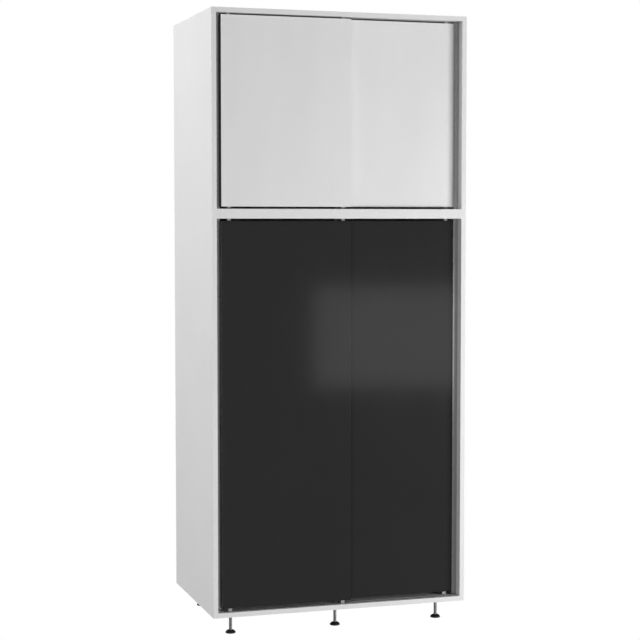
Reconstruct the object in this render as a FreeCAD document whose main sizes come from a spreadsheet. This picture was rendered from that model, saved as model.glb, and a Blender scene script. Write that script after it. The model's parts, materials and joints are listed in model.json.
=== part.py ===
import FreeCAD, Part
import math
import os
import re

import Sketcher

# Two-module wardrobe with a pair of sliding doors in each module, in millimetres.
# Origin on the floor under the middle of the cabinet; +Z up, the doors face -Y.
# Heights inside a module are counted from the module's underside, depths from its front edges.

SIZES = [
    ("width", 1000, "outer width of both modules"),
    ("depth", 636, "outer depth"),
    ("lower_height", 1500, "outer height of the lower module"),
    ("upper_height", 750, "outer height of the upper module"),
    ("foot_height", 79, "floor to the underside of the lower module"),
    ("board", 18, "thickness of the carcass boards and shelves"),
    ("back_board", 8, "thickness of the back panels"),
    ("back_inset", 10, "back panel's distance from the rear edges"),
    ("back_groove", 8, "depth of the grooves that hold the back panel"),
    ("door_width", 502, "width of each door board"),
    ("door_board", 18, "thickness of each door board"),
    ("front_setback", 14.3, "carcass front to the front doors' faces"),
    ("plane_pitch", 23.9, "front doors' faces to the rear doors' faces"),
    ("front_door_margin", 38.7, "outer side of the carcass to the front doors' closed edge"),
    ("rear_door_margin", 35.5, "outer side of the carcass to the rear doors' closed edge"),
    ("lower_bottom_gap", 12.7, "gap under the lower doors"),
    ("lower_top_gap", 8.2, "gap over the lower doors"),
    ("upper_bottom_gap", 8.2, "gap under the upper doors"),
    ("upper_top_gap", 6, "gap over the upper doors"),
    ("door_travel", 423, "how far each door slides"),
    ("seal_lip", 1, "closing edge's thickness outside the door"),
    ("barb_width", 3, "closing edge's barb, across the door's thickness"),
    ("barb_depth", 5, "closing edge's barb, into the door"),
    ("track_width", 9.4, "outer width of a U-channel"),
    ("track_height", 8, "height of a U-channel, flush with the board"),
    ("track_wall", 1.2, "wall of a U-channel"),
    ("stop_length", 10, "stop block in a top channel"),
    ("stop_height", 5, "stop block's height in the channel"),
    ("running_gap", 0.3, "play between moving pieces"),
    ("fitting_inset", 30, "door edge to the middle of a guide or roller"),
    ("mortise_depth", 13, "how deep the fittings sit in the door's rear face"),
    ("bracket_length", 26, "roller bracket along the door"),
    ("bracket_foot", 14, "roller bracket along the door, below the door's edge"),
    ("bracket_height", 42, "roller bracket's top above the bottom board"),
    ("bracket_clearance", 1.5, "roller bracket's underside above the bottom board"),
    ("wheel_radius", 11, "running wheel"),
    ("wheel_width", 5, "running wheel's tread"),
    ("wheel_hub", 5.4, "running wheel's hub length"),
    ("hub_radius", 3.5, "running wheel's hub"),
    ("rim_radius", 8.5, "inner radius of the running wheel's rim"),
    ("web_width", 3, "running wheel's web"),
    ("wheel_slot", 5.8, "slot for the wheel, across the bracket"),
    ("slot_play", 0.8, "slot's play around the wheel"),
    ("axle_radius", 1.5, "roller axle"),
    ("axle_play", 0.05, "running fit of wheel on axle"),
    ("guide_length", 26, "guide body along the door"),
    ("guide_height", 30, "guide body below the door's top edge"),
    ("nose_length", 14, "guide nose along the channel"),
    ("nose_width", 5.6, "guide nose across the channel"),
    ("nose_reach", 5, "guide nose inside the channel"),
    ("profile_fin", 19.5, "closing profile's fin, across the opening"),
    ("profile_leg", 22.2, "closing profile's leg, along the side board"),
    ("profile_wall", 2.2, "closing profile's wall"),
    ("profile_setback", 34.8, "carcass front to the fin's face"),
    ("shelf_front", 75, "carcass front to the shelves' front edge"),
    ("shelf_play", 1, "play at each end of a shelf"),
    ("lower_shelf", 1240, "height of the lower shelf's underside"),
    ("upper_shelf", 346, "height of the upper shelf's underside"),
    ("pin_radius", 2.5, "shelf pin"),
    ("pin_depth", 8, "shelf pin in the side board, and as much outside it"),
    ("pin_front", 120, "carcass front to the front shelf pins"),
    ("pin_rear", 560, "carcass front to the rear shelf pins"),
    ("rail_height", 1185, "height of the hanging rail's axis"),
    ("rail_setback", 337, "carcass front to the hanging rail's axis"),
    ("rail_radius", 12.5, "hanging rail"),
    ("rail_wall", 1.5, "hanging rail's wall"),
    ("support_radius", 22, "rail support's flange"),
    ("support_base", 3, "thickness of the rail support's flange"),
    ("cup_radius", 16, "rail support's cup"),
    ("cup_length", 15, "rail support's length"),
    ("cam_radius", 7.5, "cam fitting"),
    ("cam_height", 13.5, "cam fitting"),
    ("cam_inset", 24, "end of the board to the cam's axis"),
    ("bolt_radius", 3.5, "dowel bolt's shank"),
    ("bolt_tip_radius", 2.5, "dowel bolt's threaded tip"),
    ("bolt_tip", 11, "dowel bolt's depth in the side board"),
    ("cam_front", 110, "carcass front to the front cams"),
    ("cam_rear", 520, "carcass front to the rear cams"),
    ("sleeve_radius", 4, "module connector's sleeve"),
    ("screw_radius", 2.5, "module connector's screw"),
    ("connector_head", 6.5, "radius of the module connector's heads"),
    ("head_height", 1.5, "height of the module connector's heads"),
    ("connector_inset", 60, "inner side face to the module connectors"),
    ("connector_front", 200, "carcass front to the front connectors"),
    ("connector_rear", 460, "carcass front to the rear connectors"),
    ("foot_side", 86, "outer side of the carcass to the outer feet"),
    ("foot_front", 85, "carcass front to the front feet"),
    ("foot_rear", 554, "carcass front to the rear feet"),
    ("rod_radius", 6, "levelling foot's rod"),
    ("rod_foot", 5, "floor to the rod's lower end"),
    ("rod_chamfer", 1, "chamfer at both ends of the rod"),
    ("thread_play", 0.05, "play between rod and insert"),
    ("insert_radius", 10, "threaded insert's outside"),
    ("pad_radius", 19.5, "foot pad"),
    ("pad_flat", 18, "radius of the pad's flat underside"),
    ("pad_rim", 3.2, "height of the pad's upright rim"),
    ("pad_height", 12, "foot pad"),
    ("pad_neck", 9.5, "radius of the pad's top"),
    ("dome_radius", 16, "radius of the pad's domed shoulder"),
]

X = FreeCAD.Vector(1, 0, 0)
Y = FreeCAD.Vector(0, 1, 0)
Z = FreeCAD.Vector(0, 0, 1)

doc = FreeCAD.newDocument("SlidingDoorWardrobe")
sheet = doc.addObject("Spreadsheet::Sheet", "Sizes")
for row, (alias, number, meaning) in enumerate(SIZES, start=1):
    sheet.set(f"A{row}", meaning)
    sheet.set(f"B{row}", str(number))
    sheet.setAlias(f"B{row}", alias)
doc.recompute()

nodes = []


# ---- expressions -------------------------------------------------------------------------


def cells(text):
    """The text with every size name turned into a reference to its cell."""
    return re.sub(r"[a-z_]+", lambda name: "Sizes." + name.group(), text)


def value(text):
    """The present value of a sum of sizes."""
    return float(sheet.evalExpression(cells(text)))


def bind(item, path, text):
    item.setExpression(path, cells(text))


def turned(x_to, y_to, z_to):
    """The rotation that takes the local axes to the three given directions."""
    return FreeCAD.Rotation(x_to, y_to, z_to, "XYZ")


UPRIGHT = turned(X, Y, Z)
FLIPPED = turned(-X, Y, -Z)
LEFT_SIDE = turned(Z, -Y, X)
RIGHT_SIDE = turned(Z, Y, -X)
FACING_FRONT = turned(X, Z, -Y)


def place(item, at, rotation=UPRIGHT):
    """Puts an item's local origin at a point given as three sums of sizes."""
    item.Placement = FreeCAD.Placement(FreeCAD.Vector(*map(value, at)), rotation)
    for axis, text in zip("xyz", at):
        bind(item, f"Placement.Base.{axis}", text)


def finish(item, label):
    """Names an item as one of the wardrobe's sub-parts."""
    item.Label = label
    nodes.append(item)
    return item


# ---- sketches and PartDesign features ----------------------------------------------------


def new_body(name):
    return doc.addObject("PartDesign::Body", name)


def new_sketch(body, role, offset="0"):
    """A sketch on one of the body's origin planes, moved along its normal by the offset."""
    plane = next(item for item in body.Origin.OriginFeatures if item.Role == role)
    sketch = body.newObject("Sketcher::SketchObject", "Sketch")
    sketch.AttachmentSupport = [(plane, "")]
    sketch.MapMode = "FlatFace"
    bind(sketch, "AttachmentOffset.Base.z", offset)
    return sketch


def pin_point(sketch, geometry, point, at):
    """Dimensions one point of a sketch from the origin."""
    for kind, text in zip(("DistanceX", "DistanceY"), at):
        index = sketch.addConstraint(
            Sketcher.Constraint(kind, -1, 1, geometry, point, value(text)))
        bind(sketch, f"Constraints[{index}]", text)


def bulge(start, end, radius):
    """The arc from start to end with its centre on the left of the chord."""
    chord = end - start
    left = FreeCAD.Vector(-chord.y, chord.x, 0).normalize()
    rise = math.sqrt(radius**2 - (chord.Length / 2) ** 2)
    centre = (start + end) / 2 + left * rise
    circle = Part.Circle(centre, Z, radius)
    return Part.ArcOfCircle(circle, circle.parameter(start), circle.parameter(end))


def outline(sketch, points, arcs=None):
    """A closed anticlockwise outline; arcs gives the radius of each edge that bulges."""
    arcs = arcs or {}
    corners = [FreeCAD.Vector(value(x), value(y), 0) for x, y in points]
    first = sketch.GeometryCount
    for index, start in enumerate(corners):
        end = corners[(index + 1) % len(corners)]
        if index in arcs:
            sketch.addGeometry(bulge(start, end, value(arcs[index])))
        else:
            sketch.addGeometry(Part.LineSegment(start, end))
    for index, at in enumerate(points):
        following = (index + 1) % len(points)
        sketch.addConstraint(
            Sketcher.Constraint("Coincident", first + index, 2, first + following, 1))
        pin_point(sketch, first + index, 1, at)
    for index, radius in arcs.items():
        constraint = sketch.addConstraint(
            Sketcher.Constraint("Radius", first + index, value(radius)))
        bind(sketch, f"Constraints[{constraint}]", radius)


def rectangle(sketch, low, high):
    (x0, y0), (x1, y1) = low, high
    outline(sketch, [(x0, y0), (x1, y0), (x1, y1), (x0, y1)])


def circle(sketch, centre, radius):
    middle = FreeCAD.Vector(value(centre[0]), value(centre[1]), 0)
    geometry = sketch.addGeometry(Part.Circle(middle, Z, value(radius)))
    pin_point(sketch, geometry, 3, centre)
    constraint = sketch.addConstraint(Sketcher.Constraint("Radius", geometry, value(radius)))
    bind(sketch, f"Constraints[{constraint}]", radius)


def pad(body, sketch, length):
    feature = body.newObject("PartDesign::Pad", "Pad")
    feature.Profile = sketch
    bind(feature, "Length", length)
    return feature


def pocket(body, sketch, depth, along_normal=False):
    """Cuts against the sketch's normal, or along it."""
    feature = body.newObject("PartDesign::Pocket", "Pocket")
    feature.Profile = sketch
    feature.Reversed = along_normal
    bind(feature, "Length", depth)
    return feature


def turned_body(name, role, points, arcs=None):
    """A body of revolution about the sketch's vertical axis."""
    body = new_body(name)
    sketch = new_sketch(body, role)
    outline(sketch, points, arcs)
    feature = body.newObject("PartDesign::Revolution", "Revolution")
    feature.Profile = sketch
    feature.ReferenceAxis = (sketch, ["V_Axis"])
    feature.Angle = 360
    return body


def flat_board(name, length, width, thickness):
    """A board drawn flat: length along X, width along Y, thickness along Z."""
    body = new_body(name)
    sketch = new_sketch(body, "XY_Plane")
    rectangle(sketch, ("0", "0"), (length, width))
    pad(body, sketch, thickness)
    return body


# ---- Part primitives -----------------------------------------------------------------------


def box(low, sides):
    item = doc.addObject("Part::Box", "Box")
    for name, text in zip(("Length", "Width", "Height"), sides):
        bind(item, name, text)
    place(item, low)
    return item


def rod(start, along, radius, length):
    """A cylinder from a point along +X, +Y or +Z."""
    item = doc.addObject("Part::Cylinder", "Cylinder")
    bind(item, "Radius", radius)
    bind(item, "Height", length)
    place(item, start, FreeCAD.Rotation(Z, along))
    return item


def cut(base, tool):
    item = doc.addObject("Part::Cut", "Cut")
    item.Base = base
    item.Tool = tool
    return item


def fuse(items):
    item = doc.addObject("Part::MultiFuse", "Fusion")
    item.Shapes = items
    return item


def group(items):
    """Separate solids that share one node."""
    item = doc.addObject("Part::Compound", "Group")
    item.Links = items
    return item


# ---- carcass -------------------------------------------------------------------------------

INNER_WIDTH = "(width - 2 * board)"
BACK_REAR = "(depth - back_inset)"
BACK_FRONT = "(depth - back_inset - back_board)"
FRONT_TRACK = "(front_setback + door_board / 2)"
REAR_TRACK = "(front_setback + plane_pitch + door_board / 2)"
CAM_DEPTHS = ("cam_front", "cam_rear")
PIN_DEPTHS = ("pin_front", "pin_rear")
CONNECTOR_DEPTHS = ("connector_front", "connector_rear")
FOOT_DEPTHS = ("foot_front", "foot_rear")
FOOT_PLACES = ("foot_side", "width / 2", "width - foot_side")


def side_board(label, module, left):
    """Drawn flat, lower end at x = 0 and inner face up; the left one has its rear edge at y = 0."""

    def across(setback):
        return f"depth - ({setback})" if left else setback

    body = flat_board(label, module.height, "depth", "board")
    groove = new_sketch(body, "XY_Plane", "board")
    near, far = (BACK_REAR, BACK_FRONT) if left else (BACK_FRONT, BACK_REAR)
    rectangle(groove, ("0", across(near)), (module.height, across(far)))
    pocket(body, groove, "back_groove")

    bolt_holes = new_sketch(body, "XY_Plane", "board")
    for level in ("board / 2", f"{module.height} - board / 2"):
        for setback in CAM_DEPTHS:
            circle(bolt_holes, (level, across(setback)), "bolt_tip_radius")
    pocket(body, bolt_holes, "bolt_tip")

    pin_holes = new_sketch(body, "XY_Plane", "board")
    for setback in PIN_DEPTHS:
        circle(pin_holes, (f"{module.shelf} - pin_radius", across(setback)), "pin_radius")
    pocket(body, pin_holes, "pin_depth")

    x = "-width / 2" if left else "width / 2"
    y = "depth / 2" if left else "-depth / 2"
    place(body, (x, y, module.base), LEFT_SIDE if left else RIGHT_SIDE)
    return finish(body, label)


def level_board(label, module, is_top):
    """Top or bottom board, drawn flat with its inner face up and its front edge at y = 0."""
    body = flat_board(label, INNER_WIDTH, "depth", "board")
    grooves = [(BACK_FRONT, BACK_REAR, "back_groove")]
    for middle in (FRONT_TRACK, REAR_TRACK):
        low = f"{middle} - track_width / 2"
        high = f"{middle} + track_width / 2"
        grooves.append((low, high, "track_height"))
    for low, high, depth in grooves:
        sketch = new_sketch(body, "XY_Plane", "board")
        rectangle(sketch, ("0", low), (INNER_WIDTH, high))
        pocket(body, sketch, depth)

    cam_bores = new_sketch(body, "XY_Plane")
    for along in ("cam_inset", f"{INNER_WIDTH} - cam_inset"):
        for setback in CAM_DEPTHS:
            circle(cam_bores, (along, setback), "cam_radius")
    pocket(body, cam_bores, "cam_height", along_normal=True)

    for end, inwards in (("0", True), (INNER_WIDTH, False)):
        bolt_bores = new_sketch(body, "YZ_Plane", end)
        for setback in CAM_DEPTHS:
            circle(bolt_bores, (setback, "board / 2"), "bolt_radius")
        pocket(body, bolt_bores, "cam_inset", along_normal=inwards)

    through = []
    if is_top == module.is_lower:
        places = ("connector_inset", f"{INNER_WIDTH} - connector_inset")
        through = [(x, y, "sleeve_radius") for x in places for y in CONNECTOR_DEPTHS]
    elif module.is_lower:
        places = [f"{x} - board" for x in FOOT_PLACES]
        through = [(x, y, "insert_radius") for x in places for y in FOOT_DEPTHS]
    if through:
        holes = new_sketch(body, "XY_Plane", "board")
        for x, y, radius in through:
            circle(holes, (x, y), radius)
        pocket(body, holes, "board")

    if is_top:
        at = (f"{INNER_WIDTH} / 2", "-depth / 2", f"{module.base} + {module.height}")
        place(body, at, FLIPPED)
    else:
        place(body, (f"-{INNER_WIDTH} / 2", "-depth / 2", module.base))
    return finish(body, label)


def back_panel(label, module):
    """Sits in the grooves of the four boards around it."""
    reach = "back_groove"
    inner_height = f"({module.height} - 2 * board)"
    body = flat_board(
        label, f"{INNER_WIDTH} + 2 * {reach}", f"{inner_height} + 2 * {reach}", "back_board")
    at = (
        f"-{INNER_WIDTH} / 2 - {reach}",
        f"-depth / 2 + {BACK_REAR}",
        f"{module.base} + board - {reach}",
    )
    place(body, at, FACING_FRONT)
    return finish(body, label)


def side_profiles(label, module):
    """An upright L-profile on each side; its fin stands between the two door planes."""
    sides = []
    for left in (True, False):
        body = new_body("Profile")
        sketch = new_sketch(body, "XY_Plane")
        outer, wall, fin = "0", "profile_wall", "profile_fin"
        corners = [
            (outer, "0"), (fin, "0"), (fin, wall), (wall, wall), (wall, "profile_leg"),
            (outer, "profile_leg"),
        ]
        if not left:
            corners = [(f"-({x})", y) for x, y in reversed(corners)]
        outline(sketch, corners)
        pad(body, sketch, f"{module.height} - 2 * board")
        x = f"-{INNER_WIDTH} / 2" if left else f"{INNER_WIDTH} / 2"
        place(body, (x, "-depth / 2 + profile_setback", f"{module.base} + board"))
        sides.append(body)
    return finish(group(sides), label)


# ---- tracks --------------------------------------------------------------------------------


def channel(middle, floor_level, opens_up):
    """One U-channel, its web on the floor of its groove."""
    body = new_body("Channel")
    sketch = new_sketch(body, "YZ_Plane")
    half = "track_width / 2"
    inner = "(track_width / 2 - track_wall)"
    outline(sketch, [
        (f"-{half}", "0"), (half, "0"), (half, "track_height"), (inner, "track_height"),
        (inner, "track_wall"), (f"-{inner}", "track_wall"), (f"-{inner}", "track_height"),
        (f"-{half}", "track_height"),
    ])
    pad(body, sketch, INNER_WIDTH)
    x = f"-{INNER_WIDTH} / 2" if opens_up else f"{INNER_WIDTH} / 2"
    rotation = UPRIGHT if opens_up else FLIPPED
    place(body, (x, f"-depth / 2 + {middle}", floor_level), rotation)
    return body


def stop_block(nose_end, leftwards, middle, level):
    """A block in a top channel that the guide nose meets at the end of its travel."""
    x = f"{nose_end} - running_gap - stop_length" if leftwards else f"{nose_end} + running_gap"
    across = "(track_width - 2 * track_wall)"
    low = (x, f"-depth / 2 + {middle} - {across} / 2", f"{level} - stop_height")
    return box(low, ("stop_length", across, "stop_height"))


def tracks(label, module, at_top):
    pieces = []
    if at_top:
        web = f"{module.base} + {module.height} - board + track_height"
        for door in module.doors:
            pieces.append(channel(door.track, web, opens_up=False))
            inner_web = f"{web} - track_wall"
            nose = "fitting_inset - nose_length / 2"
            left_end = f"{door.left_edge} + {nose} + {door.lowest_travel}"
            right_end = f"{door.left_edge} + door_width - ({nose}) + {door.highest_travel}"
            pieces.append(stop_block(left_end, True, door.track, inner_web))
            pieces.append(stop_block(right_end, False, door.track, inner_web))
    else:
        web = f"{module.base} + board - track_height"
        for door in module.doors:
            pieces.append(channel(door.track, web, opens_up=True))
    return finish(group(pieces), label)


# ---- doors ---------------------------------------------------------------------------------


class Door:
    """Where one door stands when it is closed."""

    def __init__(self, module, is_left):
        self.label = f"{module.name}_{'left' if is_left else 'right'}_door"
        self.is_left = is_left
        self.bottom = f"{module.base} + board + {module.bottom_gap}"
        self.height = (
            f"({module.height} - 2 * board - {module.bottom_gap} - {module.top_gap})")
        self.board_top = f"{module.base} + board"
        self.bottom_gap = module.bottom_gap
        self.top_gap = module.top_gap
        if is_left:
            self.front = "(-depth / 2 + front_setback)"
            self.track = FRONT_TRACK
            self.left_edge = "(-width / 2 + front_door_margin)"
            self.lowest_travel = "0"
            self.highest_travel = "door_travel"
        else:
            self.front = "(-depth / 2 + front_setback + plane_pitch)"
            self.track = REAR_TRACK
            self.left_edge = "(width / 2 - rear_door_margin - door_width)"
            self.lowest_travel = "(-door_travel)"
            self.highest_travel = "0"
        self.middle = f"({self.front} + door_board / 2)"
        self.rear = f"({self.front} + door_board)"
        self.fittings = ("fitting_inset", "(door_width - fitting_inset)")


def door_board(door):
    """Drawn flat with its rear face at z = 0; the mortises are cut from the rear."""
    body = flat_board(door.label, "door_width", door.height, "door_board")
    mortises = new_sketch(body, "XY_Plane")
    for middle in door.fittings:
        half_bracket = "bracket_length / 2"
        rectangle(
            mortises,
            (f"{middle} - {half_bracket}", "0"),
            (f"{middle} + {half_bracket}", f"bracket_height - {door.bottom_gap}"),
        )
        half_guide = "guide_length / 2"
        rectangle(
            mortises,
            (f"{middle} - {half_guide}", f"{door.height} - guide_height"),
            (f"{middle} + {half_guide}", door.height),
        )
    pocket(body, mortises, "mortise_depth", along_normal=True)

    barb_groove = new_sketch(body, "XZ_Plane")
    near, far = ("0", "barb_depth") if door.is_left else ("door_width - barb_depth", "door_width")
    rectangle(
        barb_groove,
        (near, "door_board / 2 - barb_width / 2"),
        (far, "door_board / 2 + barb_width / 2"),
    )
    pocket(body, barb_groove, door.height)
    place(body, (door.left_edge, door.rear, door.bottom), FACING_FRONT)
    return finish(body, door.label)


def closing_edge(door):
    """T-shaped strip over the door's outer upright edge, its barb in the door's groove."""
    body = new_body("Edge")
    sketch = new_sketch(body, "XY_Plane")
    half, barb = "door_board / 2", "barb_width / 2"
    outline(sketch, [
        ("-seal_lip", f"-{half}"), ("0", f"-{half}"), ("0", f"-{barb}"),
        ("barb_depth", f"-{barb}"), ("barb_depth", barb), ("0", barb), ("0", half),
        ("-seal_lip", half),
    ])
    pad(body, sketch, door.height)
    x = door.left_edge if door.is_left else f"{door.left_edge} + door_width"
    rotation = UPRIGHT if door.is_left else turned(-X, -Y, Z)
    place(body, (x, door.middle, door.bottom), rotation)
    return finish(body, f"{door.label}_edge")


def top_guides(door):
    """Two guide bodies in the door's rear face, each with a round-ended nose in the channel."""
    guides = []
    top = f"({door.bottom} + {door.height})"
    rise = f"({door.top_gap} + nose_reach)"
    for along in door.fittings:
        middle = f"({door.left_edge} + {along})"
        body = box(
            (f"{middle} - guide_length / 2", f"{door.rear} - mortise_depth",
             f"{top} - guide_height"),
            ("guide_length", "mortise_depth", "guide_height"),
        )
        straight = "(nose_length - nose_width)"
        nose = box(
            (f"{middle} - {straight} / 2", f"{door.middle} - nose_width / 2", top),
            (straight, "nose_width", rise),
        )
        ends = [
            rod((f"{middle} {sign} {straight} / 2", door.middle, top), Z, "nose_width / 2", rise)
            for sign in "-+"
        ]
        guides.append(fuse([body, nose] + ends))
    return finish(group(guides), f"{door.label}_guides")


def wheel_axis_height(door):
    return f"({door.board_top} - track_height + track_wall + running_gap + wheel_radius)"


def roller_brackets(door):
    """Two slotted brackets in the door's rear face, each with a steel axle across its slot."""
    pieces = []
    foot = f"({door.board_top} + bracket_clearance)"
    slot_length = "(2 * wheel_radius + 2 * slot_play)"
    slot_top = f"({wheel_axis_height(door)} + wheel_radius + slot_play)"
    for along in door.fittings:
        middle = f"({door.left_edge} + {along})"
        block = box(
            (f"{middle} - bracket_length / 2", f"{door.rear} - mortise_depth", door.bottom),
            ("bracket_length", "mortise_depth", f"bracket_height - {door.bottom_gap}"),
        )
        narrow_foot = box(
            (f"{middle} - bracket_foot / 2", f"{door.rear} - mortise_depth", foot),
            ("bracket_foot", "mortise_depth", f"{door.bottom_gap} - bracket_clearance"),
        )
        slot = box(
            (f"{middle} - {slot_length} / 2", f"{door.middle} - wheel_slot / 2",
             f"{foot} - bracket_clearance"),
            (slot_length, "wheel_slot", f"{slot_top} - {foot} + bracket_clearance"),
        )
        axle_start = (middle, f"{door.rear} - mortise_depth", wheel_axis_height(door))
        hole = rod(axle_start, Y, "axle_radius", "mortise_depth")
        axle = rod(axle_start, Y, "axle_radius", "mortise_depth")
        pieces.append(cut(cut(fuse([block, narrow_foot]), slot), hole))
        pieces.append(axle)
    return finish(group(pieces), f"{door.label}_rollers")


def running_wheel(door, along, suffix):
    """Wheel with a raised hub and a thinner web between hub and rim."""
    bore = "(axle_radius + axle_play)"
    hub, web, rim = "wheel_hub / 2", "web_width / 2", "wheel_width / 2"
    wheel = turned_body("Wheel", "XY_Plane", [
        (bore, f"-{hub}"), ("hub_radius", f"-{hub}"), ("hub_radius", f"-{web}"),
        ("rim_radius", f"-{web}"), ("rim_radius", f"-{rim}"), ("wheel_radius", f"-{rim}"),
        ("wheel_radius", rim), ("rim_radius", rim), ("rim_radius", web),
        ("hub_radius", web), ("hub_radius", hub), (bore, hub),
    ])
    place(wheel, (f"{door.left_edge} + {along}", door.middle, wheel_axis_height(door)))
    return finish(wheel, f"{door.label}_wheel_{suffix}")


# ---- shelves, rail and fittings ------------------------------------------------------------


def shelf(label, module):
    front = "shelf_front"
    body = flat_board(
        label, f"{INNER_WIDTH} - 2 * shelf_play", f"{BACK_FRONT} - {front}", "board")
    at = (
        f"-{INNER_WIDTH} / 2 + shelf_play",
        f"-depth / 2 + {front}",
        f"{module.base} + {module.shelf}",
    )
    place(body, at)
    return finish(body, label)


def shelf_pins(modules):
    pins = []
    for module in modules:
        level = f"{module.base} + {module.shelf} - pin_radius"
        for setback in PIN_DEPTHS:
            for face in (f"-{INNER_WIDTH} / 2", f"{INNER_WIDTH} / 2"):
                start = (f"{face} - pin_depth", f"-depth / 2 + {setback}", level)
                pins.append(rod(start, X, "pin_radius", "2 * pin_depth"))
    return finish(group(pins), "shelf_pins")


def hanging_rail(module):
    length = f"({INNER_WIDTH} - 2 * support_base)"
    start = (f"-{length} / 2", "-depth / 2 + rail_setback", f"{module.base} + rail_height")
    outer = rod(start, X, "rail_radius", length)
    inner = rod(start, X, "rail_radius - rail_wall", length)
    return finish(cut(outer, inner), "hanging_rail")


def rail_supports(module):
    """A flanged cup on each side board, open towards the rail."""
    supports = []
    for left in (True, False):
        cup = turned_body("Cup", "XZ_Plane", [
            ("0", "0"), ("support_radius", "0"), ("support_radius", "support_base"),
            ("cup_radius", "support_base"), ("cup_radius", "cup_length"),
            ("rail_radius", "cup_length"), ("rail_radius", "support_base"),
            ("0", "support_base"),
        ])
        x = f"-{INNER_WIDTH} / 2" if left else f"{INNER_WIDTH} / 2"
        rotation = FreeCAD.Rotation(Z, X if left else -X)
        at = (x, "-depth / 2 + rail_setback", f"{module.base} + rail_height")
        place(cup, at, rotation)
        supports.append(cup)
    return finish(group(supports), "rail_supports")


def cam_fittings(modules):
    """Each joint has a cam in the level board and a dowel bolt into the side board."""
    radius = value("cam_radius")
    half_board = value("board / 2")
    inset = value("cam_inset")
    bore = Part.makeCylinder(value("bolt_radius"), inset, FreeCAD.Vector(), X)
    cam_foot = FreeCAD.Vector(inset, 0, -half_board)
    cam = Part.makeCylinder(radius, value("cam_height"), cam_foot).cut(bore)
    tip = Part.makeCylinder(value("bolt_tip_radius"), value("bolt_tip"), FreeCAD.Vector(), -X)
    fitting = Part.makeCompound([cam, bore.fuse(tip).removeSplitter()])

    copies = []
    for module in modules:
        levels = [
            (f"{module.base} + board / 2", Z),
            (f"{module.base} + {module.height} - board / 2", -Z),
        ]
        for level, inner_face in levels:
            for inwards in (X, -X):
                for setback in CAM_DEPTHS:
                    rotation = turned(inwards, inner_face.cross(inwards), inner_face)
                    at = FreeCAD.Vector(
                        -inwards.x * value(INNER_WIDTH) / 2,
                        value(f"-depth / 2 + {setback}"),
                        value(level),
                    )
                    copy = fitting.copy()
                    copy.Placement = FreeCAD.Placement(at, rotation)
                    copies.append(copy)
    item = doc.addObject("Part::Feature", "CamFittings")
    item.Shape = Part.makeCompound([solid for copy in copies for solid in copy.Solids])
    item.Placement = FreeCAD.Placement()
    return finish(item, "cam_fittings")


def module_connectors(lower, upper):
    """Sleeve from below and screw from above, through the two boards where the modules meet."""
    pieces = []
    under = f"({lower.base} + {lower.height} - board)"
    over = f"({upper.base} + board)"
    for side in ("-", "+"):
        for setback in CONNECTOR_DEPTHS:
            x = f"{side}({INNER_WIDTH} / 2 - connector_inset)"
            y = f"-depth / 2 + {setback}"
            sleeve = rod((x, y, under), Z, "sleeve_radius", "2 * board")
            sleeve_head = rod((x, y, f"{under} - head_height"), Z, "connector_head", "head_height")
            bore = rod((x, y, under), Z, "screw_radius", "2 * board")
            screw = rod((x, y, under), Z, "screw_radius", "2 * board")
            screw_head = rod((x, y, over), Z, "connector_head", "head_height")
            pieces.append(cut(fuse([sleeve, sleeve_head]), bore))
            pieces.append(fuse([screw, screw_head]))
    return finish(group(pieces), "module_connectors")


# ---- feet ----------------------------------------------------------------------------------


def foot_inserts(places):
    inserts = []
    for x, y in places:
        start = (x, y, "foot_height")
        outer = rod(start, Z, "insert_radius", "board")
        bore = rod(start, Z, "rod_radius + thread_play", "board")
        inserts.append(cut(outer, bore))
    return finish(group(inserts), "foot_inserts")


def foot_rod(label, x, y):
    """From inside the pad up through the bottom board, flush with its upper face."""
    top = "(foot_height + board)"
    tip = "(rod_radius - rod_chamfer)"
    body = turned_body("Rod", "XZ_Plane", [
        ("0", "rod_foot"), (tip, "rod_foot"), ("rod_radius", "rod_foot + rod_chamfer"),
        ("rod_radius", f"{top} - rod_chamfer"), (tip, top), ("0", top),
    ])
    place(body, (x, y, "0"))
    return finish(body, label)


def foot_pad(label, x, y):
    """Flat underside, upright rim, domed shoulder and a blind bore for the rod."""
    points = [
        ("0", "0"), ("pad_flat", "0"), ("pad_radius", "pad_radius - pad_flat"),
        ("pad_radius", "pad_rim"), ("pad_neck", "pad_height"), ("rod_radius", "pad_height"),
        ("rod_radius", "rod_foot"), ("0", "rod_foot"),
    ]
    body = turned_body("Pad", "XZ_Plane", points, arcs={3: "dome_radius"})
    place(body, (x, y, "0"))
    return finish(body, label)


# ---- assembly ------------------------------------------------------------------------------


class Module:
    """One carcass with its own pair of doors."""

    def __init__(self, name, base):
        self.name = name
        self.base = base
        self.is_lower = name == "lower"
        self.height = f"{name}_height"
        self.shelf = f"{name}_shelf"
        self.bottom_gap = f"{name}_bottom_gap"
        self.top_gap = f"{name}_top_gap"
        self.doors = [Door(self, is_left=True), Door(self, is_left=False)]

    def build(self):
        side_board(f"{self.name}_left_side", self, left=True)
        side_board(f"{self.name}_right_side", self, left=False)
        level_board(f"{self.name}_bottom_board", self, is_top=False)
        level_board(f"{self.name}_top_board", self, is_top=True)
        back_panel(f"{self.name}_back_panel", self)
        side_profiles(f"{self.name}_side_profiles", self)
        tracks(f"{self.name}_bottom_tracks", self, at_top=False)
        tracks(f"{self.name}_top_tracks", self, at_top=True)
        shelf(f"{self.name}_shelf", self)
        for door in self.doors:
            door_board(door)
            closing_edge(door)
            top_guides(door)
            roller_brackets(door)
            for along, suffix in zip(door.fittings, ("left", "right")):
                running_wheel(door, along, suffix)


lower = Module("lower", "foot_height")
upper = Module("upper", "(foot_height + lower_height)")
for module in (lower, upper):
    module.build()
shelf_pins((lower, upper))
hanging_rail(lower)
rail_supports(lower)
cam_fittings((lower, upper))
module_connectors(lower, upper)

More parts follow.
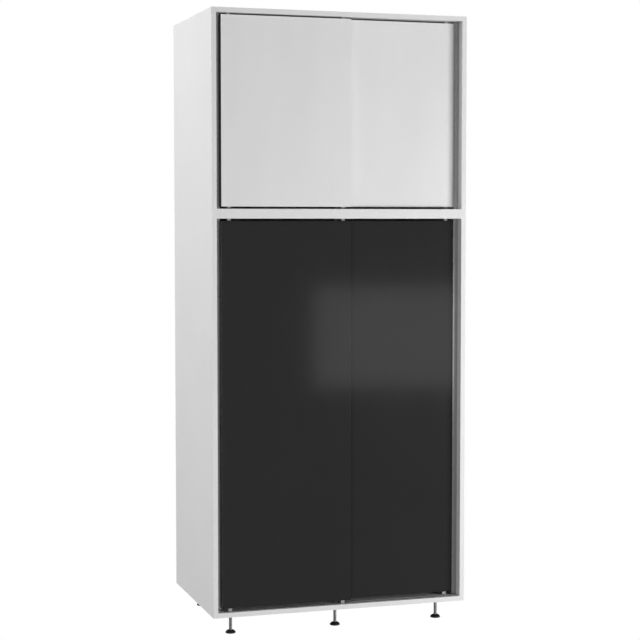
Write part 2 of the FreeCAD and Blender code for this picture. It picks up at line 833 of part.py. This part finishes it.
foot_places = []
for row_name, setback in zip(("front", "rear"), FOOT_DEPTHS):
    for column_name, along in zip(("left", "middle", "right"), FOOT_PLACES):
        x = f"-width / 2 + {along}"
        y = f"-depth / 2 + {setback}"
        foot_rod(f"foot_{row_name}_{column_name}_rod", x, y)
        foot_pad(f"foot_{row_name}_{column_name}_pad", x, y)
        foot_places.append((x, y))
foot_inserts(foot_places)

doc.recompute()

for item in doc.Objects:
    if {"Invalid", "Error"} & set(item.State):
        raise RuntimeError(f"{item.Label} failed: {item.State}")
for node in nodes:
    if node.Shape.isNull() or not node.Shape.isValid():
        raise RuntimeError(f"{node.Label} has no valid shape")

os.makedirs("parts", exist_ok=True)
for node in nodes:
    node.Shape.exportStep(os.path.join("parts", f"{node.Label}.step"))
    print(f"{node.Label:32s} {len(node.Shape.Solids):3d} solids {node.Shape.Volume:14.1f} mm3")
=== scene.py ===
import json
import math

import bmesh
import bpy
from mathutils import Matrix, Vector


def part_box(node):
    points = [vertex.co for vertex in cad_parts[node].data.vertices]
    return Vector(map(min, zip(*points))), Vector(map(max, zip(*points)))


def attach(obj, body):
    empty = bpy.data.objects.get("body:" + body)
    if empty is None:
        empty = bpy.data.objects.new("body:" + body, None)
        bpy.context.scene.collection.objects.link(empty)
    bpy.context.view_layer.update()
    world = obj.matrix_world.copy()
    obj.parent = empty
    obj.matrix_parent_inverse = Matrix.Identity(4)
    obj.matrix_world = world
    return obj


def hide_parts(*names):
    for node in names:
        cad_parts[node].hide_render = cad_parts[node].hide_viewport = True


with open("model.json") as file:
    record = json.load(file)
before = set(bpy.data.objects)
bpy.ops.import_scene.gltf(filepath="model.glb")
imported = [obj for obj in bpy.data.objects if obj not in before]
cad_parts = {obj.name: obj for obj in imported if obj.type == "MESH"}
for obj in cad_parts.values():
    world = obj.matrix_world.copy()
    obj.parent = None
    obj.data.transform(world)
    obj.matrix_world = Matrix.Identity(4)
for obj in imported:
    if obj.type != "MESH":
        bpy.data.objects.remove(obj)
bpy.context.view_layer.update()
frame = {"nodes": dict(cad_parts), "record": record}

MM = 0.001
BODIES = frame["record"]["behaviour"]["bodies"]
CARCASS_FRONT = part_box("lower_left_side")[0].y


# ---- node graphs ---------------------------------------------------------------------------


class Graph:
    """One material's node tree, with short calls for the nodes that the finishes share."""

    def __init__(self, name):
        self.material = bpy.data.materials.new(name)
        self.material.use_nodes = True
        self.tree = self.material.node_tree
        self.shader = self.tree.nodes["Principled BSDF"]
        self.place = self.add("ShaderNodeTexCoord").outputs["Object"]

    def add(self, kind, **settings):
        node = self.tree.nodes.new(kind)
        for key, setting in settings.items():
            setattr(node, key, setting)
        return node

    def join(self, source, target):
        """Puts a number, colour or output into an input."""
        if isinstance(source, bpy.types.NodeSocket):
            self.tree.links.new(source, target)
        else:
            target.default_value = source

    def set(self, **inputs):
        """Sets inputs of the surface shader; Base_Color stands for Base Color."""
        for key, source in inputs.items():
            self.join(source, self.shader.inputs[key.replace("_", " ")])

    def stretched(self, x, y, z):
        node = self.add("ShaderNodeMapping")
        self.join(self.place, node.inputs["Vector"])
        node.inputs["Scale"].default_value = (x, y, z)
        return node.outputs["Vector"]

    def noise(self, scale, detail=3.0, rough=0.5, vector=None):
        node = self.add("ShaderNodeTexNoise")
        self.join(self.place if vector is None else vector, node.inputs["Vector"])
        node.inputs["Scale"].default_value = scale
        node.inputs["Detail"].default_value = detail
        node.inputs["Roughness"].default_value = rough
        return node.outputs["Fac"]

    def cells(self, scale):
        node = self.add("ShaderNodeTexVoronoi")
        self.join(self.place, node.inputs["Vector"])
        node.inputs["Scale"].default_value = scale
        return node.outputs["Distance"]

    def spread(self, source, low, high, to_low=0.0, to_high=1.0):
        """Maps low..high of the source to to_low..to_high, clamped."""
        node = self.add("ShaderNodeMapRange")
        self.join(source, node.inputs["Value"])
        node.inputs["From Min"].default_value = low
        node.inputs["From Max"].default_value = high
        node.inputs["To Min"].default_value = to_low
        node.inputs["To Max"].default_value = to_high
        return node.outputs["Result"]

    def maths(self, operation, first, second=0.0):
        node = self.add("ShaderNodeMath", operation=operation)
        self.join(first, node.inputs[0])
        self.join(second, node.inputs[1])
        return node.outputs[0]

    def blend(self, share, first, second):
        """First colour where share is 0, second where it is 1."""
        node = self.add("ShaderNodeMix", data_type="RGBA")
        self.join(share, node.inputs[0])
        self.join(first, node.inputs[6])
        self.join(second, node.inputs[7])
        return node.outputs[2]

    def bump(self, height, distance, under=None):
        node = self.add("ShaderNodeBump")
        self.join(height, node.inputs["Height"])
        node.inputs["Distance"].default_value = distance
        if under is not None:
            self.join(under, node.inputs["Normal"])
        return node.outputs["Normal"]

    def depth_from_front(self):
        """How far behind the carcass's front plane a point lies, in metres."""
        split = self.add("ShaderNodeSeparateXYZ")
        self.join(self.place, split.inputs[0])
        return self.maths("SUBTRACT", split.outputs["Y"], CARCASS_FRONT)

    def painted_shade_ao(self, reach):
        """1 on open faces, less in corners and beside a neighbour that stands proud: a mask for
        painted shade.
        """
        node = self.add("ShaderNodeAmbientOcclusion", samples=8)
        node.inputs["Distance"].default_value = reach
        return node.outputs["AO"]


def grey(level, warmth=0.0):
    return (level * (1 + warmth), level, level * (1 - warmth), 1.0)


# ---- finishes ------------------------------------------------------------------------------


# Thickness of the boards' edge band, and how near a neighbour the painted shade on a black door
# reaches.
EDGE_BAND = 1.0 * MM
PAINTED_SHADE_REACH = 24.0 * MM


def melamine(name, level, rough):
    """White resin-faced board: faint clouding, a fine pearl surface and edge banding."""
    g = Graph(name)
    cloud = g.spread(g.noise(2.2, 4.0), 0.3, 0.7)
    tone = g.blend(cloud, grey(level * 0.975), grey(level))
    specks = g.spread(g.noise(900.0, 1.0), 0.62, 0.75)
    tone = g.blend(specks, tone, grey(level * 0.94, 0.01))
    depth = g.depth_from_front()
    off_joint = g.maths("ABSOLUTE", g.maths("SUBTRACT", depth, EDGE_BAND))
    joint = g.spread(off_joint, 0.16 * MM, 0.06 * MM)
    tone = g.blend(g.maths("MULTIPLY", joint, 0.45), tone, grey(level * 0.55, 0.02))
    pearl = g.noise(1100.0, 2.0)
    waves = g.noise(60.0, 2.0)
    patches = g.spread(g.noise(9.0, 3.0), 0.3, 0.7, rough - 0.04, rough + 0.05)
    g.set(
        Base_Color=tone,
        Roughness=patches,
        Normal=g.bump(waves, 0.00008, g.bump(pearl, 0.00003)),
    )
    return g.material


def door_white():
    """White faced door: smoother than the carcass, with faint upright mottling."""
    g = Graph("door_white")
    mottle = g.spread(g.noise(5.0, 6.0, 0.6, g.stretched(1.0, 1.0, 0.35)), 0.35, 0.65)
    tone = g.blend(mottle, grey(0.80), grey(0.83))
    scuffs = g.spread(g.noise(38.0, 6.0, 0.7), 0.66, 0.74)
    tone = g.blend(g.maths("MULTIPLY", scuffs, 0.3), tone, grey(0.76))
    pearl = g.noise(1300.0, 2.0)
    waves = g.noise(45.0, 2.0)
    g.set(
        Base_Color=tone,
        Roughness=g.spread(g.noise(12.0, 4.0), 0.3, 0.7, 0.34, 0.42),
        Normal=g.bump(waves, 0.00006, g.bump(pearl, 0.00002)),
    )
    return g.material


def door_black():
    """Black door with a deep gloss and hair-fine wiping marks; painted shade darkens its colour
    beside its neighbours.
    """
    g = Graph("door_black")
    cloud = g.spread(g.noise(3.0, 5.0, 0.6), 0.3, 0.7)
    # Painted shade: the colour falls to near-black where ambient occlusion finds a neighbour close
    # by.
    unshaded_share = g.spread(g.painted_shade_ao(PAINTED_SHADE_REACH), 0.5, 0.97)
    tone = g.blend(unshaded_share, grey(0.003), g.blend(cloud, grey(0.0145), grey(0.0165)))
    wiped = g.noise(26.0, 8.0, 0.65, g.stretched(1.0, 1.0, 0.2))
    g.set(
        Base_Color=tone,
        Roughness=g.spread(wiped, 0.3, 0.75, 0.08, 0.11),
        Normal=g.bump(g.noise(75.0, 2.0), 0.00001),
    )
    return g.material


def brushed(name, level, rough, along):
    """Metal with fine lines that run along x, y or z."""
    g = Graph(name)
    scale = {"x": (6.0, 900.0, 900.0), "y": (900.0, 6.0, 900.0), "z": (900.0, 900.0, 6.0)}
    lines = g.noise(1.0, 3.0, 0.6, g.stretched(*scale[along]))
    broad = g.spread(g.noise(14.0, 3.0), 0.3, 0.7)
    tone = g.blend(broad, grey(level * 0.92), grey(level * 1.04))
    tone = g.blend(g.maths("MULTIPLY", lines, 0.25), tone, grey(level * 0.7))
    g.set(
        Base_Color=tone,
        Metallic=1.0,
        Roughness=g.spread(lines, 0.3, 0.7, rough - 0.05, rough + 0.08),
        Normal=g.bump(lines, 0.00002),
    )
    return g.material


def plated(name, level, rough):
    """Zinc plating: crystalline patches over a fine grain."""
    g = Graph(name)
    patches = g.spread(g.cells(420.0), 0.0, 0.8)
    tone = g.blend(patches, grey(level * 0.82, 0.01), grey(level * 1.06, -0.008))
    g.set(
        Base_Color=tone,
        Metallic=1.0,
        Roughness=g.spread(g.noise(260.0, 3.0), 0.3, 0.7, rough - 0.07, rough + 0.1),
        Normal=g.bump(g.noise(1500.0, 2.0), 0.00002),
    )
    return g.material


def chrome_tube():
    g = Graph("chrome_tube")
    haze = g.spread(g.noise(30.0, 5.0), 0.35, 0.7)
    g.set(
        Base_Color=g.blend(haze, grey(0.78), grey(0.70, 0.01)),
        Metallic=1.0,
        Roughness=g.spread(haze, 0.0, 1.0, 0.09, 0.2),
    )
    return g.material


def moulded(name, colour, dark, rough, grain):
    """Moulded plastic or rubber with a fine spark-eroded grain."""
    g = Graph(name)
    cloud = g.spread(g.noise(70.0, 3.0), 0.3, 0.7)
    texture = g.noise(grain, 2.0)
    g.set(
        Base_Color=g.blend(cloud, dark, colour),
        Roughness=g.spread(texture, 0.3, 0.7, rough - 0.06, rough + 0.08),
        Normal=g.bump(texture, 0.00004),
    )
    return g.material


def back_board():
    """Lacquered fibreboard with a faint pressed weave."""
    g = Graph("white_back")
    fibres = g.noise(160.0, 5.0, 0.7)
    g.set(
        Base_Color=g.blend(g.spread(fibres, 0.35, 0.65), grey(0.74, 0.006), grey(0.79, 0.004)),
        Roughness=g.spread(fibres, 0.3, 0.7, 0.5, 0.62),
        Normal=g.bump(fibres, 0.00006),
    )
    return g.material


FINISHES = {
    "white_board": melamine("white_board", 0.82, 0.42),
    "white_back": back_board(),
    "grey_profile": brushed("grey_profile", 0.46, 0.17, "z"),
    "track_aluminium": brushed("track_aluminium", 0.24, 0.38, "x"),
    "door_white": door_white(),
    "door_black": door_black(),
    "edge_black": moulded("edge_black", grey(0.018), grey(0.012), 0.55, 1800.0),
    "fitting_plastic": moulded("fitting_plastic", grey(0.36, 0.01), grey(0.32, 0.012), 0.42, 1500.0),
    "wheel_plastic": moulded("wheel_plastic", grey(0.030), grey(0.024), 0.35, 1600.0),
    "zinc_steel": plated("zinc_steel", 0.60, 0.32),
    "chrome_tube": chrome_tube(),
    "foot_steel": plated("foot_steel", 0.42, 0.34),
    "foot_rubber": moulded("foot_rubber", grey(0.008), grey(0.005), 0.5, 1700.0),
}


def dress(piece, slot):
    piece.data.materials.clear()
    piece.data.materials.append(FINISHES[slot])


# ---- carried-over CAD nodes ----------------------------------------------------------------

# Width of the rounded edges in millimetres.
BEVELS = {
    "white_board": 0.5, "white_back": 0.5, "grey_profile": 0.4, "track_aluminium": 0.25,
    "door_white": 0.5, "door_black": 0.15, "edge_black": 0.3, "fitting_plastic": 0.5,
    "wheel_plastic": 0.3, "zinc_steel": 0.2, "chrome_tube": 0.2, "foot_rubber": 0.4,
}


WELD_DISTANCE = 0.002 * MM
FLAT_ANGLE = math.radians(0.5)
SHARP_ANGLE = math.radians(40)


def round_edges(piece, width):
    """Joins the faces at their shared edges, breaks the sharp edges and keeps flat faces flat."""
    weld = piece.modifiers.new("Weld", "WELD")
    weld.merge_threshold = WELD_DISTANCE
    flat = piece.modifiers.new("Flat", "DECIMATE")
    flat.decimate_type = "DISSOLVE"
    flat.angle_limit = FLAT_ANGLE
    bevel = piece.modifiers.new("Bevel", "BEVEL")
    bevel.width = width
    bevel.segments = 2
    bevel.limit_method = "ANGLE"
    bevel.angle_limit = SHARP_ANGLE
    normals = piece.modifiers.new("Normals", "WEIGHTED_NORMAL")
    normals.weight = 100


def finish_cad_nodes():
    for entry in frame["record"]["subparts"]:
        piece = frame["nodes"][entry["node"]]
        slot = entry["material_slot"]
        dress(piece, slot)
        if slot in BEVELS:
            round_edges(piece, BEVELS[slot] * MM)


# ---- threaded rods -------------------------------------------------------------------------

THREAD_PITCH = 1.75 * MM
THREAD_DEPTH = 0.65 * MM
END_CHAMFER = 1.2 * MM
MERGE_DISTANCE = 0.001 * MM
COLUMNS = 36
# Root, crest, crest and root over one pitch.
PROFILE = (0.0, 1.0, 1.0, 0.0)


def threaded_rod(node):
    """A rod with a real helical thread in place of the plain one."""
    low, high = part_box(node)
    centre = (low + high) / 2
    crest = (high.x - low.x) / 2
    steps = len(PROFILE)
    rows = int((high.z - low.z) / THREAD_PITCH * steps) + 2 * steps
    mesh = bmesh.new()
    columns = []
    for column in range(COLUMNS):
        turn = column / COLUMNS
        angle = 2 * math.pi * turn
        points = []
        for row in range(rows):
            z = low.z + THREAD_PITCH * ((row - steps) / steps + turn)
            z = min(max(z, low.z), high.z)
            end_gap = min(z - low.z, high.z - z)
            radius = crest - THREAD_DEPTH * (1 - PROFILE[row % steps])
            radius = min(radius, crest - END_CHAMFER + end_gap)
            points.append(mesh.verts.new((
                centre.x + radius * math.cos(angle), centre.y + radius * math.sin(angle), z)))
        columns.append(points)
    for column in range(COLUMNS):
        last = column == COLUMNS - 1
        following = columns[0] if last else columns[column + 1]
        shift = steps if last else 0
        for row in range(rows - 1 - shift):
            mesh.faces.new((
                columns[column][row], following[row + shift],
                following[row + 1 + shift], columns[column][row + 1]))
    bmesh.ops.remove_doubles(mesh, verts=mesh.verts, dist=MERGE_DISTANCE)
    bmesh.ops.dissolve_degenerate(mesh, edges=mesh.edges, dist=MERGE_DISTANCE)
    bmesh.ops.holes_fill(mesh, edges=mesh.edges, sides=0)
    bmesh.ops.recalc_face_normals(mesh, faces=mesh.faces)
    data = bpy.data.meshes.new(f"{node}_thread")
    mesh.to_mesh(data)
    mesh.free()
    piece = bpy.data.objects.new(f"{node}_thread", data)
    bpy.context.scene.collection.objects.link(piece)
    return piece


def build_feet():
    for body, members in BODIES.items():
        for node in members:
            if node.startswith("foot_") and node.endswith("_rod"):
                piece = threaded_rod(node)
                dress(piece, "foot_steel")
                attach(piece, body)
                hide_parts(node)


# ---- studio --------------------------------------------------------------------------------

CAMERA_AT = Vector((-1.937, -6.205, 1.556))
CAMERA_TURN = math.radians(17.45)
CAMERA_DROP = math.radians(3.468)
CAMERA_LENS = 92.88


def add_camera():
    data = bpy.data.cameras.new("Camera")
    data.lens = CAMERA_LENS
    data.sensor_width = 36.0
    data.clip_end = 200.0
    camera = bpy.data.objects.new("Camera", data)
    bpy.context.scene.collection.objects.link(camera)
    camera.location = CAMERA_AT
    camera.rotation_euler = (math.pi / 2 - CAMERA_DROP, 0.0, -CAMERA_TURN)
    bpy.context.scene.camera = camera


def add_softbox(name, at, towards, width, height, power):
    data = bpy.data.lights.new(name, "AREA")
    data.shape = "RECTANGLE"
    data.size = width
    data.size_y = height
    data.energy = power
    light = bpy.data.objects.new(name, data)
    bpy.context.scene.collection.objects.link(light)
    light.location = at
    direction = Vector(towards) - Vector(at)
    light.rotation_euler = direction.to_track_quat("-Z", "Y").to_euler()


def only_for_camera(tree, seen, unseen):
    """A shader that camera rays meet as seen, and every other ray as unseen."""
    rays = tree.nodes.new("ShaderNodeLightPath")
    choice = tree.nodes.new("ShaderNodeMixShader")
    tree.links.new(rays.outputs["Is Camera Ray"], choice.inputs["Fac"])
    tree.links.new(unseen, choice.inputs[1])
    tree.links.new(seen, choice.inputs[2])
    return choice.outputs[0]


FLOOR_REACH = 40.0


def add_floor():
    """A pale floor that looks as even as paper, and bounces only a little light."""
    data = bpy.data.meshes.new("Floor")
    corners = [
        (-FLOOR_REACH, -FLOOR_REACH, 0), (FLOOR_REACH, -FLOOR_REACH, 0),
        (FLOOR_REACH, FLOOR_REACH, 0), (-FLOOR_REACH, FLOOR_REACH, 0),
    ]
    data.from_pydata(corners, [], [(0, 1, 2, 3)])
    floor = bpy.data.objects.new("Floor", data)
    bpy.context.scene.collection.objects.link(floor)
    g = Graph("floor")
    patch = g.spread(g.noise(0.8, 2.0), 0.3, 0.7)
    g.set(Base_Color=g.blend(patch, grey(0.33), grey(0.37)), Roughness=0.9)
    paper = g.add("ShaderNodeEmission")
    paper.inputs["Strength"].default_value = 1.0
    surface = only_for_camera(g.tree, paper.outputs[0], g.shader.outputs[0])
    g.tree.links.new(surface, g.tree.nodes["Material Output"].inputs["Surface"])
    floor.data.materials.append(g.material)
    floor.visible_glossy = False


def add_world():
    """White behind the object for the camera, a dim even room for everything else."""
    world = bpy.data.worlds.new("Studio")
    world.use_nodes = True
    bpy.context.scene.world = world
    tree = world.node_tree
    tree.nodes.clear()
    room = tree.nodes.new("ShaderNodeBackground")
    room.inputs["Color"].default_value = grey(1.0)
    room.inputs["Strength"].default_value = ROOM_GLOW
    backdrop = tree.nodes.new("ShaderNodeBackground")
    backdrop.inputs["Color"].default_value = grey(1.0)
    backdrop.inputs["Strength"].default_value = 1.0
    output = tree.nodes.new("ShaderNodeOutputWorld")
    surface = only_for_camera(tree, backdrop.outputs[0], room.outputs[0])
    tree.links.new(surface, output.inputs["Surface"])


ROOM_GLOW = 0.30

# Each softbox: name, place, the point that it faces, width, height, power.
SOFTBOXES = (
    ("SideLight", (-4.2, 0.6, 4.4), (-0.5, 0.0, 1.9), 2.4, 1.6, 170.0),
    ("LowSideLight", (-5.0, 0.2, 1.2), (-0.5, 0.0, 0.7), 2.0, 1.2, 12.0),
    ("LeftLight", (-4.3, -6.2, 0.9), (0.0, -0.3, 0.9), 3.6, 1.4, 60.0),
    ("RightLight", (4.0, -4.4, 0.45), (0.2, -0.3, 1.0), 2.0, 0.9, 222.0),
    ("BackLight", (1.6, 5.6, 3.2), (0.0, 0.3, 1.2), 2.4, 2.4, 140.0),
    ("Reflection", (1.99, -4.5, 0.785), (0.37, -0.3, 0.9), 1.52, 0.67, 2.5),
)


def add_studio():
    add_camera()
    add_floor()
    add_world()
    for softbox in SOFTBOXES:
        add_softbox(*softbox)
    bpy.context.scene.view_settings.view_transform = "Standard"


finish_cad_nodes()
build_feet()
add_studio()
